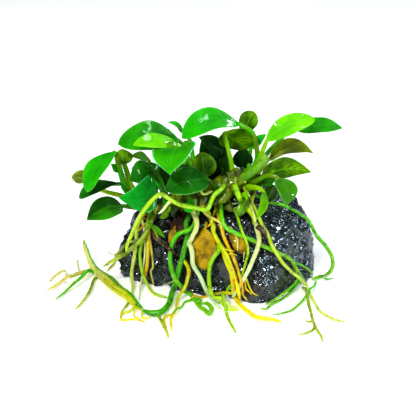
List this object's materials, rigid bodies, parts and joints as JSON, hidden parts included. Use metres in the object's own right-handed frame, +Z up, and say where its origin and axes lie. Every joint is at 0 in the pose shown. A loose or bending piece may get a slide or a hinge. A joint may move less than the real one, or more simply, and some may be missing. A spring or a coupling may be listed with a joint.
{
  "type": "anubias on stone",
  "caption": "Small-leaved anubias whose knobby rhizome sits on a dark porous stone, with arching leaves above and long roots that trail over the stone and out around it.",
  "frame": {"origin": "On the ground, under the middle of the stone, where its flat underside rests.", "axes": "+X to the right along the stone's length, +Y to the back, +Z up. The front faces -Y."},
  "size_m": [0.1441, 0.0948, 0.087],
  "materials": {
    "stone": "wet, porous dark lava rock",
    "rhizome": "fresh green stem skin",
    "leaf": "wet glossy green leaf",
    "old_leaf": "soft amber dying leaf",
    "root": "wet yellow-green root"
  },
  "bodies": {
    "root": {"cut_stalk": "rhizome", "leaf_centre_dark": "leaf", "leaf_centre_olive": "leaf", "leaf_centre_veined": "leaf", "leaf_emerald": "leaf", "leaf_folded": "leaf", "leaf_front_bright": "leaf", "leaf_front_heart": "leaf", "leaf_inner_dark": "leaf", "leaf_left_behind": "leaf", "leaf_left_drooping": "leaf", "leaf_left_edge": "leaf", "leaf_left_low": "leaf", "leaf_left_underside": "leaf", "leaf_right_bright": "leaf", "leaf_right_dark": "leaf", "leaf_right_far": "leaf", "leaf_right_hanging": "leaf", "leaf_right_olive": "leaf", "leaf_right_rim": "leaf", "leaf_right_tip": "leaf", "leaf_rolled_young": "leaf", "leaf_shade_lower": "leaf", "leaf_shade_upper": "leaf", "leaf_small_left": "leaf", "leaf_small_right": "leaf", "leaf_top_back": "leaf", "leaf_top_big": "leaf", "leaf_upper_left": "leaf", "old_leaf_amber": "old_leaf", "old_leaf_amber_right": "old_leaf", "old_leaf_brown": "old_leaf", "rhizome": "rhizome", "root_amber": "root", "root_bright_branch": "root", "root_deep_green": "root", "root_far_tip": "root", "root_green_arc": "root", "root_left_amber": "root", "root_left_arm": "root", "root_left_lime": "root", "root_left_pale": "root", "root_lime_thick": "root", "root_lime_thin": "root", "root_lime_tip": "root", "root_long_right": "root", "root_mat": "root", "root_mat_fork_green": "root", "root_mat_fork_low": "root", "root_mat_fork_yellow": "root", "root_over_leaves": "root", "root_pale_right": "root", "root_right_loop": "root", "root_tan": "root", "root_thick_yellow": "root", "root_thin_arc": "root", "root_white_middle": "root", "root_white_right": "root", "root_yellow_strand": "root", "stone": "stone"}
  },
  "joints": []
}
